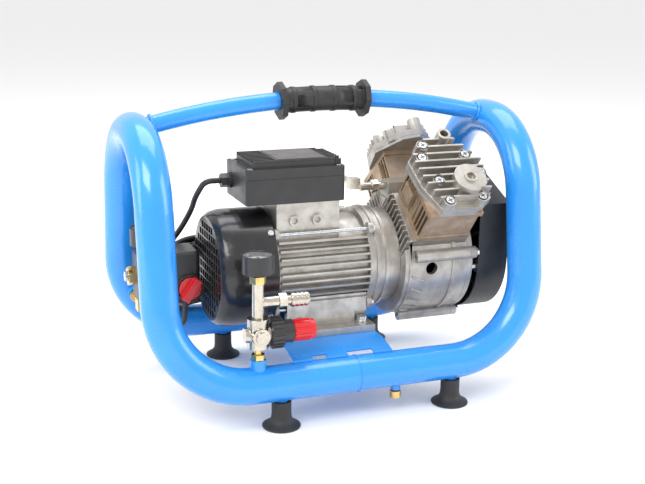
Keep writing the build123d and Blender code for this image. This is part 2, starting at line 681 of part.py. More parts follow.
def pipe_fittings():
    """Brass fittings: check valve, nipples, gauge stem and the safety valve's body."""
    check = hex_z(CHECK_X, CAGE_Y, 100, 112, 20) + cyl_z(CHECK_X, CAGE_Y, 112, 128, 8)
    check += cyl_z(CHECK_X, CAGE_Y, 90, 100, 4.9)
    nipple = hex_z(STACK_X, -CAGE_Y, 100, 108, 17) + cyl_z(STACK_X, -CAGE_Y, 90, 117, 4.9)
    adaptor = hex_z(STACK_X, -CAGE_Y, 206, 216, 19.5)
    x, y, z = GAUGES["tank"]
    stem = cyl_z(x, y, SWITCH[5], z, 5)
    return group([check, nipple, adaptor, stem, switch_nipple(), safety_valve()])


def switch_nipple():
    """Port block under the switch, with its nipple into the rear upright."""
    x, y, z = SWITCH_PORT
    port = block(x - 8, x + 8, SWITCH[3] - 18, SWITCH[3], z - 9, SWITCH[4])
    return port + cyl_y(x, SWITCH[3] - 1, y - 4, z, 4.9) + cyl_y(x, y - 24, y - 12, z, 9)


# -------------------------------------------------------------- pressure switch
def switch_base():
    """Base plate and terminal block of the pressure switch."""
    x0, x1, y0, y1, z0, z1 = SWITCH
    base = block(x0 + 4, x1 - 4, y0 + 4, y1 - 4, z0, z0 + 8)
    return base + block(x0 + 14, x1 - 14, y0 + 14, y1 - 10, z0 + 8, z0 + 46)


def switch_cover():
    """Cover of the pressure switch, with a round rim for the knob."""
    x0, x1, y0, y1, z0, z1 = SWITCH
    shell = block(x0, x1, y0, y1, z0 + 8, z1)
    shell = fillet(shell.edges().filter_by(Axis.Z), 8)
    shell = chamfer(shell.faces().sort_by(Axis.Z)[-1].edges(), 4)
    shell -= block(x0 + 3, x1 - 3, y0 + 3, y1 - 3, z0 + 7, z1 - 3)
    shell += cyl_y(KNOB_X, y0 - 6, y0 + 1, KNOB_Z, 20) - cyl_y(KNOB_X, y0 - 7, y0 - 1, KNOB_Z, 17.5)
    shell -= cyl_y(KNOB_X, y0 - 8, y0 + 4, KNOB_Z, 4)
    return shell - cyl_y(LEAD_IN[0], y1 - 4, y1 + 1, LEAD_IN[2], LEAD_R)




def switch_knob():
    """Red rotary knob with a finger bar across it."""
    y0 = SWITCH[2]
    knob = cyl_y(KNOB_X, y0 - 7, y0 - 1.3, KNOB_Z, 16.5) + cyl_y(KNOB_X, y0 - 2, y0 + 8, KNOB_Z, 4 - FIT)
    bar = Pos(KNOB_X, y0 - 13, KNOB_Z) * Rot(0, 35, 0) * Box(11, 13, 36)
    return knob + bar


def safety_valve():
    """Body of the safety valve on the left of the switch."""
    x, y, z = SWITCH[0], 40, 176
    return hex_x(x - 10, x, 24, y, z) - cyl_x(x - 11, x - 2, 3, y, z)


def safety_cap():
    """Pull cap of the safety valve, on its stem."""
    x, y, z = SWITCH[0], 40, 176
    return cyl_x(x - 14, x - 10.4, 7, y, z) + cyl_x(x - 11, x - 3, 3 - FIT, y, z)


# --------------------------------------------------------------------- gauges


def gauge_cases():
    """Gauge cups, facing up, with their sockets."""
    made = []
    for x, y, z in GAUGES.values():
        cup = cyl_z(x, y, z + 4, z + 29, GAUGE_R) - cyl_z(x, y, z + 18, z + 30, GAUGE_R - 2)
        made.append(cup + cyl_z(x, y, z, z + 4, 9))
    return group(made)


def gauge_dials():
    """Dial discs with a spindle hole."""
    return group([cyl_z(x, y, z + 18, z + 19, GAUGE_R - 2) - cyl_z(x, y, z + 17, z + 20, 1.5)
                  for x, y, z in GAUGES.values()])


def gauge_lenses():
    """Clear lenses."""
    return group([cyl_z(x, y, z + 25, z + 27.5, GAUGE_R - 2) for x, y, z in GAUGES.values()])


def gauge_needle(which):
    """Needle on its boss, at zero."""
    x, y, z = GAUGES[which]
    needle = cyl_z(x, y, z + 20, z + 23, 2.4) + cyl_z(x, y, z + 18.1, z + 20, 1.5 - FIT)
    arm = block(-14, 4, -0.6, 0.6, z + 20.8, z + 21.8)
    return needle + Pos(x, y, 0) * Rot(0, 0, 45) * arm


# ------------------------------------------------------------ regulator group


def regulator_body():
    """Nickel-plated regulator body and its left port."""
    body = cyl_z(STACK_X, -CAGE_Y, 117, 158, 14.5)
    body += cyl_x(STACK_X, STACK_X + 16, 12.5, -CAGE_Y, REG_Z)
    body += cyl_x(STACK_X - 19, STACK_X - 8, 10, -CAGE_Y, REG_Z)
    body += cyl_y(STACK_X, -CAGE_Y - 18, -CAGE_Y, REG_Z, 12) + cyl_y(STACK_X, -CAGE_Y - 21, -CAGE_Y, REG_Z, 8)
    return body - cyl_z(STACK_X, -CAGE_Y, 116, 122, 5)


def regulator_bonnet():
    """Black ribbed bonnet nut with the spring housing."""
    bonnet = cyl_x(STACK_X + 16, STACK_X + 33, 20, -CAGE_Y, REG_Z)
    for i in range(20):
        rib = block(STACK_X + 17, STACK_X + 32, -1.3, 1.3, 19, 21.6)
        bonnet += Pos(0, -CAGE_Y, REG_Z) * Rot(i * 18, 0, 0) * rib
    bonnet += cyl_x(STACK_X + 33, STACK_X + 47, 15.5, -CAGE_Y, REG_Z)
    return bonnet - cyl_x(STACK_X + 20, STACK_X + 48, 7, -CAGE_Y, REG_Z)


def regulator_spindle():
    """Threaded spindle that the knob turns."""
    return cyl_x(STACK_X + 21, STACK_X + 62, 7 - FIT, -CAGE_Y, REG_Z)


def regulator_knob():
    """Red ribbed knob."""
    knob = cyl_x(STACK_X + 48, STACK_X + 78, 13.6, -CAGE_Y, REG_Z)
    for i in range(14):
        rib = block(STACK_X + 49, STACK_X + 72, -1.6, 1.6, 12.6, 15)
        knob += Pos(0, -CAGE_Y, REG_Z) * Rot(i * 360 / 14, 0, 0) * rib
    return knob - cyl_x(STACK_X + 47, STACK_X + 70, 7 + FIT, -CAGE_Y, REG_Z)


def outlet_tee():
    """Tee between the regulator, the gauge and the coupling."""
    tee = cyl_z(STACK_X, -CAGE_Y, 158, 206, 8)
    tee += cyl_x(STACK_X, STACK_X + 28, 7.5, -CAGE_Y, TEE_Z)
    return tee


def coupling_body():
    """Quick coupling: hexagon and barrel, with the bore for a plug nipple."""
    body = hex_x(STACK_X + 28, STACK_X + 39, 18, -CAGE_Y, TEE_Z)
    body += cyl_x(STACK_X + 39, STACK_X + 71, 6.6, -CAGE_Y, TEE_Z)
    return body - cyl_x(STACK_X + 48, STACK_X + 72, 5.1, -CAGE_Y, TEE_Z)


def coupling_sleeve():
    """Ridged sliding sleeve."""
    sleeve = cyl_x(STACK_X + 45, STACK_X + 69, 9.2, -CAGE_Y, TEE_Z)
    for x in (48, 54, 60, 66):
        sleeve += cyl_x(STACK_X + x - 1.5, STACK_X + x + 1.5, 10, -CAGE_Y, TEE_Z)
    return sleeve - cyl_x(STACK_X + 44, STACK_X + 70, 6.6 + FIT, -CAGE_Y, TEE_Z)


# ---------------------------------------------------------------- mains cord


def coil_plane():
    """The coil stands on the rear tube and leans forward."""
    lean = math.radians(COIL_LEAN)
    return Plane(origin=COIL_CENTRE, x_dir=(1, 0, 0), z_dir=(0, math.cos(lean), math.sin(lean)))


def mains_cord_coil():
    """Outer shape of the coiled cord."""
    return coil_plane() * Torus(COIL_MAJOR, COIL_MINOR)


def cord_gland():
    """Gland under the switch, tapered around the cord."""
    x, y, z = CORD_EXIT
    cone = turned([(0, 0), (6, 0), (8.5, 12), (0, 12)], (x, y, z))
    return cone - cyl_z(x, y, z - 1, z + 13, CORD_R)


def mains_cord():
    """The cord's two free stretches: gland to coil, and coil to plug."""
    x, y, z = CORD_EXIT
    lead_out = [CORD_EXIT, (x, y, z - 26), (x - 8, y + 24, z - 40), (x - 10, y + 54, z - 42),
                (x + 4, y + 82, z - 36), (x + 28, y + 97, z - 31)]
    x, y, z = PLUG
    tail = [(x - 112, y + 38, z - 11), (x - 82, y + 36, z - 14), (x - 56, y + 16, z - 6),
            (x - 30, y, z), PLUG]
    return group([tube_along(lead_out, CORD_R, "lead_out"), tube_along(tail, CORD_R, "tail")])


def mains_plug():
    """Moulded plug, lying on the base plate behind the motor."""
    x, y, z = PLUG
    plug = cyl_x(x, x + 25, 6, y, z) + cyl_x(x + 24, x + 48, 12, y, z)
    for side in (-1, 1):
        plug += cyl_x(x + 47, x + 66, 2.4, y + side * 9.5, z)
    return plug


# ----------------------------------------------------------------------- build
def main():
    """Write every node."""
    os.makedirs("parts", exist_ok=True)
    nodes = {
        "tank_tube_left": lambda: tank_tube(-1), "tank_tube_right": lambda: tank_tube(1),
        "welded_fittings": welded_fittings, "rubber_feet": rubber_feet,
        "foot_screws": foot_screws, "drain_screw": drain_screw, "handle_tube": handle_tube,
        "handle_grip": handle_grip, "base_plate": base_plate, "motor_bolts": motor_bolts,
        "motor_housing": motor_housing, "stator_core": stator_core, "stator_windings": stator_windings,
        "rotor_core": rotor_core, "shaft_bearings": shaft_bearings, "rear_end_shield": rear_end_shield,
        "front_flange": front_flange, "tie_rods": tie_rods, "fan_cover": fan_cover,
        "motor_fan": lambda: fan(-150, -116, 18, 12, 68, 10, 3), "terminal_box": terminal_box,
        "terminal_box_lid": terminal_box_lid, "small_screws": small_screws,
        "run_capacitor": run_capacitor, "cable_glands": cable_glands, "motor_lead": motor_lead,
        "crankcase": crankcase, "crankcase_cover": crankcase_cover, "crankshaft": crankshaft,
        "front_piston": lambda: piston(True), "rear_piston": lambda: piston(False),
        "front_cylinder": lambda: cylinder(True), "rear_cylinder": lambda: cylinder(False),
        "valve_plates": valve_plates, "front_head": lambda: head(True), "rear_head": lambda: head(False),
        "pump_screws": pump_screws, "pump_fan": lambda: fan(218, 244, 20, 10, 80, 12, 3),
        "fan_shroud": fan_shroud, "air_pipe": air_pipe,
        "pipe_fittings": pipe_fittings, "switch_base": switch_base, "switch_cover": switch_cover,
        "switch_knob": switch_knob, "safety_cap": safety_cap,
        "outlet_tee": outlet_tee,
        "gauge_cases": gauge_cases, "gauge_dials": gauge_dials, "gauge_lenses": gauge_lenses,
        "front_gauge_needle": lambda: gauge_needle("front"),
        "tank_gauge_needle": lambda: gauge_needle("tank"),
        "regulator_body": regulator_body, "regulator_bonnet": regulator_bonnet,
        "regulator_spindle": regulator_spindle, "regulator_knob": regulator_knob,
        "coupling_body": coupling_body, "coupling_sleeve": coupling_sleeve,
        "mains_cord": mains_cord, "mains_cord_coil": mains_cord_coil,
        "mains_plug": mains_plug,
    }
    for name, make in nodes.items():
        write(name, make())


main()
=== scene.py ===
"""Looks of a portable oil-free air compressor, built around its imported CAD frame.

Every piece is in metres, in the frame's own axes: +X along the motor shaft
towards the pump, +Y to the rear and +Z up, with the floor at Z = 0.
"""
import json
import logging
import math
from dataclasses import dataclass, field
from enum import Enum

import bmesh
import bpy
from mathutils import Matrix, Vector

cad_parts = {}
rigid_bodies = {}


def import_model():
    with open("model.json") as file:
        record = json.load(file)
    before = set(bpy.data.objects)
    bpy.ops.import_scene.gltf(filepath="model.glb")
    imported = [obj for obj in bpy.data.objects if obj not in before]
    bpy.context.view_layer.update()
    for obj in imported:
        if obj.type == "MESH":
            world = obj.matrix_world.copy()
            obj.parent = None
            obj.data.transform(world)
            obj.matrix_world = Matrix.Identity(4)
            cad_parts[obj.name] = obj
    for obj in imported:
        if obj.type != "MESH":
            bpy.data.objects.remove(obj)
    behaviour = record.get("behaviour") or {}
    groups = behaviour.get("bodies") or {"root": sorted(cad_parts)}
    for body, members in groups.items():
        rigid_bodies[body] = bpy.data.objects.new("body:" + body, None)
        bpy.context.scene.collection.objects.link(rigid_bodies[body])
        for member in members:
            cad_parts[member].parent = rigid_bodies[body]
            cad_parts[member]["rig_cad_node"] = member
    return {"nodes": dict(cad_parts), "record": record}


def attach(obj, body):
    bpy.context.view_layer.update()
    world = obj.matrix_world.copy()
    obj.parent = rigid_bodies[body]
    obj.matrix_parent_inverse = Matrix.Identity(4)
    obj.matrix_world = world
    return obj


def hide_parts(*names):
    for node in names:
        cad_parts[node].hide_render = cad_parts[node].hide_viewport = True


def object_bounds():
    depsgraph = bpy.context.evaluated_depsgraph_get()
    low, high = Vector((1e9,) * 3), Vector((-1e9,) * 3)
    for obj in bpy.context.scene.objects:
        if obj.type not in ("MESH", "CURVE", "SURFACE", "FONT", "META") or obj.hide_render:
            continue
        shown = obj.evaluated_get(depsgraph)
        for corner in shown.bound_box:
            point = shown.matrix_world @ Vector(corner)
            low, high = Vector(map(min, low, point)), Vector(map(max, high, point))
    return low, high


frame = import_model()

log = logging.getLogger("compressor")
CAD_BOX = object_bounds()
MM = 0.001


# ------------------------------------------------------------------ shader groups
def group_socket(tree: bpy.types.NodeTree, name: str, way: str, kind: str, value: object = None) -> None:
    """Adds one named socket to a shader group.

    Args:
        tree: the group.
        name: the socket's name.
        way: INPUT or OUTPUT.
        kind: the socket's class name, such as NodeSocketFloat.
        value: what it holds when nothing is linked.
    """
    socket = tree.interface.new_socket(name=name, in_out=way, socket_type=kind)
    if value is not None:
        socket.default_value = value


def mottle_group() -> bpy.types.NodeTree:
    """Builds the group that blends two tones in soft clouds.

    Returns:
        The group, with outputs Color and Mask.
    """
    tree = bpy.data.node_groups.new("mottled_tone", "ShaderNodeTree")
    group_socket(tree, "Vector", "INPUT", "NodeSocketVector")
    group_socket(tree, "Tone", "INPUT", "NodeSocketColor", (0.5, 0.5, 0.5, 1))
    group_socket(tree, "Second Tone", "INPUT", "NodeSocketColor", (0.4, 0.4, 0.4, 1))
    group_socket(tree, "Scale", "INPUT", "NodeSocketFloat", 40.0)
    group_socket(tree, "Color", "OUTPUT", "NodeSocketColor")
    group_socket(tree, "Mask", "OUTPUT", "NodeSocketFloat")
    inside, outside = tree.nodes.new("NodeGroupInput"), tree.nodes.new("NodeGroupOutput")
    cloud = tree.nodes.new("ShaderNodeTexNoise")
    cloud.inputs["Detail"].default_value = 4.0
    cloud.inputs["Roughness"].default_value = 0.6
    spread = tree.nodes.new("ShaderNodeMapRange")
    spread.inputs["From Min"].default_value = 0.36
    spread.inputs["From Max"].default_value = 0.66
    blend = tree.nodes.new("ShaderNodeMix")
    blend.data_type = "RGBA"
    tree.links.new(inside.outputs["Vector"], cloud.inputs["Vector"])
    tree.links.new(inside.outputs["Scale"], cloud.inputs["Scale"])
    tree.links.new(cloud.outputs["Fac"], spread.inputs["Value"])
    tree.links.new(spread.outputs["Result"], blend.inputs["Factor"])
    tree.links.new(inside.outputs["Tone"], blend.inputs["A"])
    tree.links.new(inside.outputs["Second Tone"], blend.inputs["B"])
    tree.links.new(blend.outputs["Result"], outside.inputs["Color"])
    tree.links.new(spread.outputs["Result"], outside.inputs["Mask"])
    return tree


def grain_group() -> bpy.types.NodeTree:
    """Builds the group for fine relief: pits of a casting, peel of a paint.

    Returns:
        The group, with the output Height.
    """
    tree = bpy.data.node_groups.new("fine_relief", "ShaderNodeTree")
    group_socket(tree, "Vector", "INPUT", "NodeSocketVector")
    group_socket(tree, "Scale", "INPUT", "NodeSocketFloat", 900.0)
    group_socket(tree, "Coarse Share", "INPUT", "NodeSocketFloat", 0.4)
    group_socket(tree, "Height", "OUTPUT", "NodeSocketFloat")
    inside, outside = tree.nodes.new("NodeGroupInput"), tree.nodes.new("NodeGroupOutput")
    fine, coarse = tree.nodes.new("ShaderNodeTexNoise"), tree.nodes.new("ShaderNodeTexNoise")
    fine.inputs["Detail"].default_value = 2.0
    coarse.inputs["Detail"].default_value = 1.0
    slower = tree.nodes.new("ShaderNodeMath")
    slower.operation = "MULTIPLY"
    slower.inputs[1].default_value = 0.13
    blend = tree.nodes.new("ShaderNodeMix")
    tree.links.new(inside.outputs["Vector"], fine.inputs["Vector"])
    tree.links.new(inside.outputs["Vector"], coarse.inputs["Vector"])
    tree.links.new(inside.outputs["Scale"], fine.inputs["Scale"])
    tree.links.new(inside.outputs["Scale"], slower.inputs[0])
    tree.links.new(slower.outputs["Value"], coarse.inputs["Scale"])
    tree.links.new(inside.outputs["Coarse Share"], blend.inputs["Factor"])
    tree.links.new(fine.outputs["Fac"], blend.inputs["A"])
    tree.links.new(coarse.outputs["Fac"], blend.inputs["B"])
    tree.links.new(blend.outputs["Result"], outside.inputs["Height"])
    return tree


def streak_group() -> bpy.types.NodeTree:
    """Builds the group for turned or brushed metal: fine lines across one axis.

    Returns:
        The group, with the output Height.
    """
    tree = bpy.data.node_groups.new("tool_marks", "ShaderNodeTree")
    group_socket(tree, "Vector", "INPUT", "NodeSocketVector")
    group_socket(tree, "Stretch", "INPUT", "NodeSocketVector", (2600.0, 60.0, 60.0))
    group_socket(tree, "Height", "OUTPUT", "NodeSocketFloat")
    inside, outside = tree.nodes.new("NodeGroupInput"), tree.nodes.new("NodeGroupOutput")
    scaled = tree.nodes.new("ShaderNodeVectorMath")
    scaled.operation = "MULTIPLY"
    lines = tree.nodes.new("ShaderNodeTexNoise")
    lines.inputs["Scale"].default_value = 1.0
    lines.inputs["Detail"].default_value = 2.0
    tree.links.new(inside.outputs["Vector"], scaled.inputs[0])
    tree.links.new(inside.outputs["Stretch"], scaled.inputs[1])
    tree.links.new(scaled.outputs["Vector"], lines.inputs["Vector"])
    tree.links.new(lines.outputs["Fac"], outside.inputs["Height"])
    return tree


class Relief(Enum):
    """How the fine surface of a finish is made."""

    GRAIN = "grain"
    MARKS = "marks"


GROUPS = {"mottle": mottle_group(), Relief.GRAIN: grain_group(), Relief.MARKS: streak_group()}


# ----------------------------------------------------------------------- finishes
@dataclass(frozen=True)
class Finish:
    """One finish of the object: its tones, gloss and fine relief."""

    slot: str
    tone: tuple[float, float, float]
    second: tuple[float, float, float]
    roughness: tuple[float, float]
    metallic: float = 0.0
    coat: float = 0.0
    cloud: float = 45.0
    relief: Relief = Relief.GRAIN
    scale: float = 900.0
    coarse: float = 0.4
    bump: float = 0.15
    clear: float = 0.0

    def material(self, name: str) -> bpy.types.Material:
        """Makes or reuses the material.

        Args:
            name: the material's name.

        Returns:
            The material.
        """
        made = bpy.data.materials.get(name)
        if made is not None:
            return made
        made = bpy.data.materials.new(name)
        made.use_nodes = True
        tree = made.node_tree
        shader = tree.nodes["Principled BSDF"]
        place = tree.nodes.new("ShaderNodeTexCoord")
        tone = tree.nodes.new("ShaderNodeGroup")
        tone.node_tree = GROUPS["mottle"]
        tone.inputs["Tone"].default_value = (*self.tone, 1)
        tone.inputs["Second Tone"].default_value = (*self.second, 1)
        tone.inputs["Scale"].default_value = self.cloud
        gloss = tree.nodes.new("ShaderNodeMapRange")
        gloss.inputs["To Min"].default_value, gloss.inputs["To Max"].default_value = self.roughness
        relief = tree.nodes.new("ShaderNodeGroup")
        relief.node_tree = GROUPS[self.relief]
        if self.relief is Relief.GRAIN:
            relief.inputs["Scale"].default_value = self.scale
            relief.inputs["Coarse Share"].default_value = self.coarse
        bump = tree.nodes.new("ShaderNodeBump")
        bump.inputs["Strength"].default_value = self.bump
        bump.inputs["Distance"].default_value = 0.4 * MM
        tree.links.new(place.outputs["Object"], tone.inputs["Vector"])
        tree.links.new(place.outputs["Object"], relief.inputs["Vector"])
        tree.links.new(tone.outputs["Color"], shader.inputs["Base Color"])
        tree.links.new(tone.outputs["Mask"], gloss.inputs["Value"])
        tree.links.new(gloss.outputs["Result"], shader.inputs["Roughness"])
        tree.links.new(relief.outputs["Height"], bump.inputs["Height"])
        tree.links.new(bump.outputs["Normal"], shader.inputs["Normal"])
        shader.inputs["Metallic"].default_value = self.metallic
        shader.inputs["Coat Weight"].default_value = self.coat
        shader.inputs["Coat Roughness"].default_value = 0.06
        shader.inputs["Transmission Weight"].default_value = self.clear
        if self.clear:
            shader.inputs["IOR"].default_value = 1.2
        return made


FINISHES = {
    "cage_paint": Finish("blue_paint", (0.018, 0.27, 0.80), (0.016, 0.25, 0.75), (0.24, 0.30),
                         coat=0.55, cloud=14, scale=420, coarse=0.6, bump=0.035),
    "sheet_paint": Finish("blue_paint", (0.018, 0.25, 0.74), (0.015, 0.23, 0.68), (0.27, 0.36),
                          coat=0.35, cloud=20, scale=500, bump=0.04),
    "moulded_black": Finish("black_plastic", (0.022, 0.022, 0.023), (0.030, 0.030, 0.031), (0.30, 0.42),
                            scale=1500, coarse=0.2, bump=0.10),
    "cover_black": Finish("black_plastic", (0.010, 0.010, 0.011), (0.014, 0.014, 0.015), (0.20, 0.27),
                          coat=0.25, scale=700, bump=0.03),
    "shroud_black": Finish("black_plastic", (0.016, 0.016, 0.017), (0.022, 0.022, 0.022), (0.38, 0.48),
                           scale=1300, coarse=0.2, bump=0.12),
    "foot_rubber": Finish("rubber", (0.016, 0.016, 0.017), (0.028, 0.027, 0.027), (0.52, 0.72),
                          scale=1100, bump=0.2),
    "grip_rubber": Finish("rubber", (0.014, 0.014, 0.015), (0.022, 0.022, 0.022), (0.42, 0.58),
                          scale=1300, bump=0.16),
    "cord_jacket": Finish("cord_black", (0.016, 0.016, 0.017), (0.024, 0.024, 0.025), (0.36, 0.48),
                          scale=1200, bump=0.08),
    "casting": Finish("cast_aluminium", (0.50, 0.475, 0.44), (0.36, 0.335, 0.305), (0.36, 0.52),
                      metallic=0.82, cloud=38, scale=1000, coarse=0.45, bump=0.28),
    "fin_casting": Finish("cast_aluminium", (0.52, 0.50, 0.465), (0.40, 0.375, 0.345), (0.32, 0.46),
                          metallic=0.85, cloud=60, scale=1100, coarse=0.4, bump=0.22),
    "tan_casting": Finish("tan_aluminium", (0.46, 0.345, 0.235), (0.33, 0.235, 0.155), (0.36, 0.50),
                          metallic=0.75, cloud=42, scale=1000, bump=0.24),
    "zinc": Finish("zinc_steel", (0.68, 0.70, 0.71), (0.52, 0.54, 0.55), (0.22, 0.34),
                   metallic=1.0, cloud=160, relief=Relief.MARKS, bump=0.05),
    "ground_steel": Finish("dark_steel", (0.36, 0.35, 0.34), (0.26, 0.25, 0.24), (0.30, 0.42),
                           metallic=1.0, cloud=70, relief=Relief.MARKS, bump=0.08),
    "nickel_plate": Finish("nickel", (0.60, 0.555, 0.48), (0.48, 0.44, 0.37), (0.16, 0.26),
                           metallic=1.0, cloud=90, relief=Relief.MARKS, bump=0.04),
    "turned_brass": Finish("brass", (0.78, 0.56, 0.22), (0.64, 0.43, 0.15), (0.18, 0.30),
                           metallic=1.0, cloud=90, relief=Relief.MARKS, bump=0.05),
    "winding_copper": Finish("copper", (0.50, 0.20, 0.07), (0.38, 0.13, 0.05), (0.30, 0.42),
                             metallic=0.7, cloud=80, scale=1600, bump=0.3),
    "signal_red": Finish("red_plastic", (0.62, 0.012, 0.020), (0.54, 0.010, 0.016), (0.24, 0.34),
                         coat=0.2, scale=900, bump=0.04),
    "dial_white": Finish("white_dial", (0.80, 0.80, 0.77), (0.74, 0.74, 0.70), (0.45, 0.55),
                         scale=1500, bump=0.03),
    "dial_ink": Finish("black_plastic", (0.012, 0.012, 0.012), (0.02, 0.02, 0.02), (0.5, 0.6), bump=0.02),
    "satin_black_metal": Finish("black_metal", (0.014, 0.014, 0.015), (0.020, 0.020, 0.021), (0.26, 0.36),
                                coat=0.15, scale=900, bump=0.05),
    "panel_grey": Finish("black_plastic", (0.095, 0.078, 0.078), (0.080, 0.066, 0.067), (0.34, 0.44),
                         scale=1500, bump=0.04),
    "gauge_lens": Finish("lens", (0.95, 0.97, 0.98), (0.93, 0.95, 0.97), (0.03, 0.06), bump=0.0, clear=0.92),
}


def finish(obj: bpy.types.Object, name: str) -> bpy.types.Object:
    """Gives an object one finish.

    Args:
        obj: the piece.
        name: a key of FINISHES.

    Returns:
        The same piece.
    """
    obj.data.materials.clear()
    obj.data.materials.append(FINISHES[name].material(name))
    return obj


# ------------------------------------------------------------------- making pieces
def body_of_node(node: str) -> str:
    """The CAD body that a node rides on."""
    return next(body for body, nodes in frame["record"]["behaviour"]["bodies"].items() if node in nodes)


def piece(name: str, mesh: bmesh.types.BMesh, look: str, body: str = "frame",
          smooth_below: float = 35.0) -> bpy.types.Object:
    """Turns a bmesh into a finished piece that rides on a body.

    Args:
        name: the piece's name.
        mesh: the shape, which is freed.
        look: a key of FINISHES.
        body: the CAD body it rides on.
        smooth_below: edges flatter than this many degrees are shaded smooth.

    Returns:
        The new object.
    """
    for face in mesh.faces:
        face.smooth = True
    limit = math.radians(smooth_below)
    for edge in mesh.edges:
        edge.smooth = len(edge.link_faces) == 2 and edge.calc_face_angle(0.0) < limit
    data = bpy.data.meshes.new(name)
    mesh.to_mesh(data)
    mesh.free()
    obj = bpy.data.objects.new(name, data)
    bpy.context.scene.collection.objects.link(obj)
    finish(obj, look)
    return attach(obj, body)


def soften(obj: bpy.types.Object, width: float, segments: int = 2, angle: float = 40.0) -> None:
    """Rounds a piece's edges.

    Args:
        obj: the piece.
        width: how far each edge is cut back, in metres.
        segments: steps across the rounding.
        angle: only edges sharper than this many degrees are rounded.
    """
    bevel = obj.modifiers.new("rounded_edges", "BEVEL")
    bevel.width = width
    bevel.segments = segments
    bevel.limit_method = "ANGLE"
    bevel.angle_limit = math.radians(angle)
    bevel.use_clamp_overlap = False
    bevel.harden_normals = True


def dressed(node: str, look: str, edge: float = 0.0) -> bpy.types.Object:
    """Makes a smooth, finished skin that stands for a CAD node.

    Args:
        node: the CAD node.
        look: a key of FINISHES.
        edge: radius of the rounded edges, in metres, or 0 to leave them.

    Returns:
        The skin.
    """
    mesh = bmesh.new()
    mesh.from_mesh(frame["nodes"][node].data)
    bmesh.ops.remove_doubles(mesh, verts=mesh.verts, dist=2e-6)
    bmesh.ops.dissolve_limit(mesh, angle_limit=math.radians(0.6), verts=mesh.verts, edges=mesh.edges)
    skin = piece(f"{node}_skin", mesh, look, body_of_node(node))
    if edge:
        soften(skin, edge)
    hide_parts(node)
    log.info("%s dressed in %s", node, look)
    return skin


def add_box(mesh: bmesh.types.BMesh, size: tuple[float, float, float], place: Matrix) -> None:
    """Adds a closed box to a mesh.

    Args:
        mesh: the mesh to add to.
        size: the box's three sides, in metres.
        place: where its middle goes, and how it is turned.
    """
    bmesh.ops.create_cube(mesh, size=1.0, matrix=place @ Matrix.Diagonal((*size, 1)))


def add_ring(mesh: bmesh.types.BMesh, major: float, minor: float, place: Matrix) -> None:
    """Adds a closed ring of round section to a mesh.

    Args:
        mesh: the mesh to add to.
        major: radius of the ring's middle line, in metres.
        minor: radius of its section, in metres.
        place: where its middle goes; its axis is the matrix's Z.
    """
    section = bmesh.ops.create_circle(mesh, segments=12, radius=minor, cap_ends=False,
                                      matrix=Matrix.Translation((major, 0, 0))
                                      @ Matrix.Rotation(math.radians(90), 4, "X"))
    edges = list({edge for vert in section["verts"] for edge in vert.link_edges})
    others = set(mesh.verts) - set(section["verts"])
    bmesh.ops.spin(mesh, geom=section["verts"] + edges, cent=(0, 0, 0), axis=(0, 0, 1), dvec=(0, 0, 0),
                   angle=math.tau, steps=48, use_merge=True)
    made = [vert for vert in mesh.verts if vert not in others]
    bmesh.ops.transform(mesh, matrix=place, verts=made)
    bmesh.ops.recalc_face_normals(mesh, faces=mesh.faces)


def facing(place: Vector, direction: Vector) -> Matrix:
    """A frame at a place, with its Z along a direction."""
    return Matrix.Translation(place) @ direction.to_track_quat("Z", "Y").to_matrix().to_4x4()


@dataclass
class SubAssembly:
    """A group of CAD nodes that are dressed alike, with pieces of their own."""

    skins: dict[str, tuple[str, float]] = field(default_factory=dict)

    def dress(self) -> None:
        """Makes the skins of every node in the group."""
        for node, (look, edge) in self.skins.items():
            dressed(node, look, edge)

    def add_details(self) -> None:
        """Makes the pieces that only the looks need."""

    def build(self) -> None:
        """Dresses the nodes, then adds the details."""
        self.dress()
        self.add_details()
        log.info("%s built", type(self).__name__)


# ---------------------------------------------------------------- cage and handle
@dataclass
class Cage(SubAssembly):
    """The tank tube, its feet, the carrying handle and the base plate."""

    skins: dict[str, tuple[str, float]] = field(default_factory=lambda: {
        "tank_tube_left": ("cage_paint", 0.0), "tank_tube_right": ("cage_paint", 0.0),
        "welded_fittings": ("cage_paint", 0.0), "handle_tube": ("cage_paint", 0.0),
        "base_plate": ("sheet_paint", 0.0006), "rubber_feet": ("foot_rubber", 0.0007),
        "foot_screws": ("zinc", 0.0004), "drain_screw": ("turned_brass", 0.0005),
        "handle_grip": ("grip_rubber", 0.0008),
    })
    handle_end: tuple[float, float, float] = (0.2455, 0.0, 0.397)
    handle_slope: float = 0.2317
    bead_radius: float = 13 * MM
    bead_thickness: float = 2.4 * MM

    def add_details(self) -> None:
        """Makes the weld beads where the handle meets the arches."""
        mesh = bmesh.new()
        x, y, z = self.handle_end
        for side in (-1, 1):
            along = Vector((1, 0, -side * self.handle_slope))
            add_ring(mesh, self.bead_radius, self.bead_thickness, facing(Vector((side * x, y, z)), along))
        piece("handle_weld_beads", mesh, "cage_paint")


